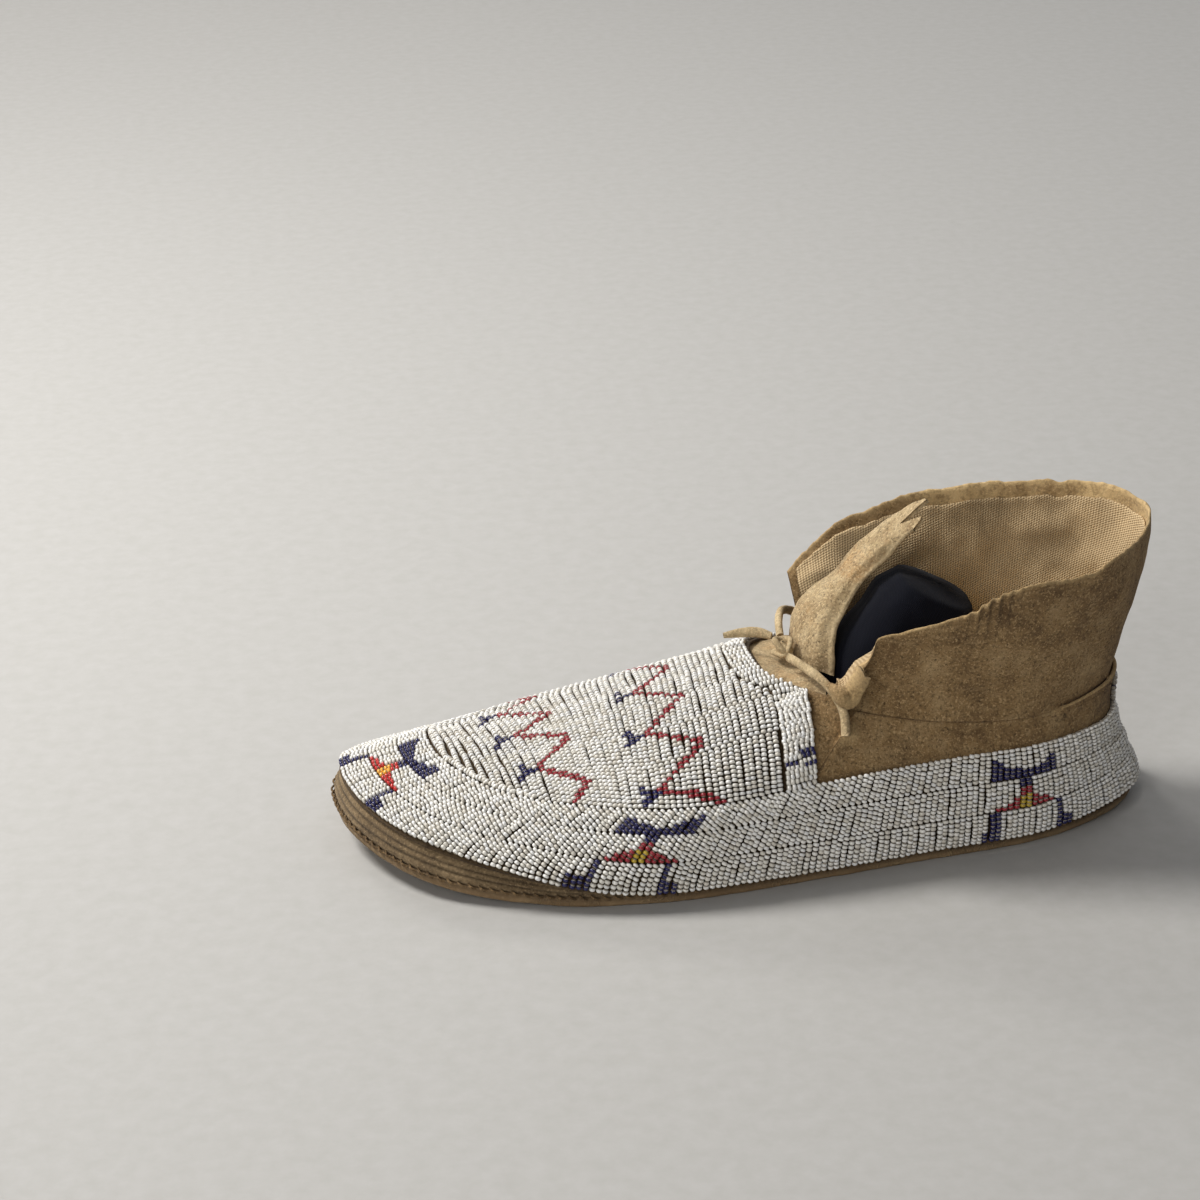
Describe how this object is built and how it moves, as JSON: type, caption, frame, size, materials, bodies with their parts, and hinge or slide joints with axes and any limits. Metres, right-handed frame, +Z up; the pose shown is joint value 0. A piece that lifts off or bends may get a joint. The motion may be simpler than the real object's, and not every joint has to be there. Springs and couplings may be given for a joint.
{
  "type": "beaded hard-sole moccasin",
  "caption": "Left hard-sole moccasin: rawhide sole, bead-covered hide upper, cloth-lined ankle collar, forked hinged tongue, hide tie and lift-out padded form",
  "frame": {"origin": "middle of the footprint on the floor, midway between toe and heel", "axes": "+X from toe to heel, -Y the outer side of the left foot, +Z up"},
  "size_m": [0.2582, 0.1111, 0.102],
  "materials": {
    "rawhide_sole": "crackled smoke-darkened rawhide",
    "hide_brown": "soft napped suede, soiled",
    "hide_pale": "pale buff hide with orange stains",
    "beads": "opaque glass seed beads, semi-gloss",
    "lining_cloth": "twill-woven cotton",
    "form_cloth": "matt navy cloth over padding",
    "sinew": "twisted sinew thread"
  },
  "bodies": {
    "shoe": {"sole_rawhide": "rawhide_sole", "sole_margin": "hide_brown", "sole_seam_sinew": "sinew", "vamp_hide": "hide_brown", "quarter_outer": "hide_brown", "quarter_inner": "hide_brown", "border_outer_1": "beads", "border_inner_1": "beads", "border_outer_2": "beads", "border_inner_2": "beads", "border_outer_3": "beads", "border_inner_3": "beads", "toe_fan": "beads", "vamp_lane_1": "beads", "vamp_lane_2": "beads", "vamp_lane_3": "beads", "vamp_lane_4": "beads", "vamp_lane_5": "beads", "vamp_lane_6": "beads", "vamp_lane_7": "beads", "vamp_lane_8": "beads", "throat_tab_outer": "beads", "throat_tab_inner": "beads", "collar_hide": "hide_brown", "collar_lining": "lining_cloth", "collar_seam_sinew": "sinew", "heel_strip": "beads", "tie_strand_outer": "hide_pale", "tie_strand_inner": "hide_pale", "tie_loose_end": "hide_pale", "tie_knot": "hide_pale"},
    "tongue": {"tongue_hide": "hide_pale"},
    "form": {"padded_form": "form_cloth"}
  },
  "joints": [
    {"name": "tongue_hinge", "type": "hinge", "parent": "shoe", "child": "tongue", "pos_m": [0.0204, -0.002, 0.054], "axis": [0.3032, -0.9529, 0], "range_deg": [0, 14]},
    {"name": "padded_form_lift", "type": "slide", "parent": "shoe", "child": "form", "axis": [0.6691, 0, 0.7431], "range_m": [0, 0.075]}
  ]
}
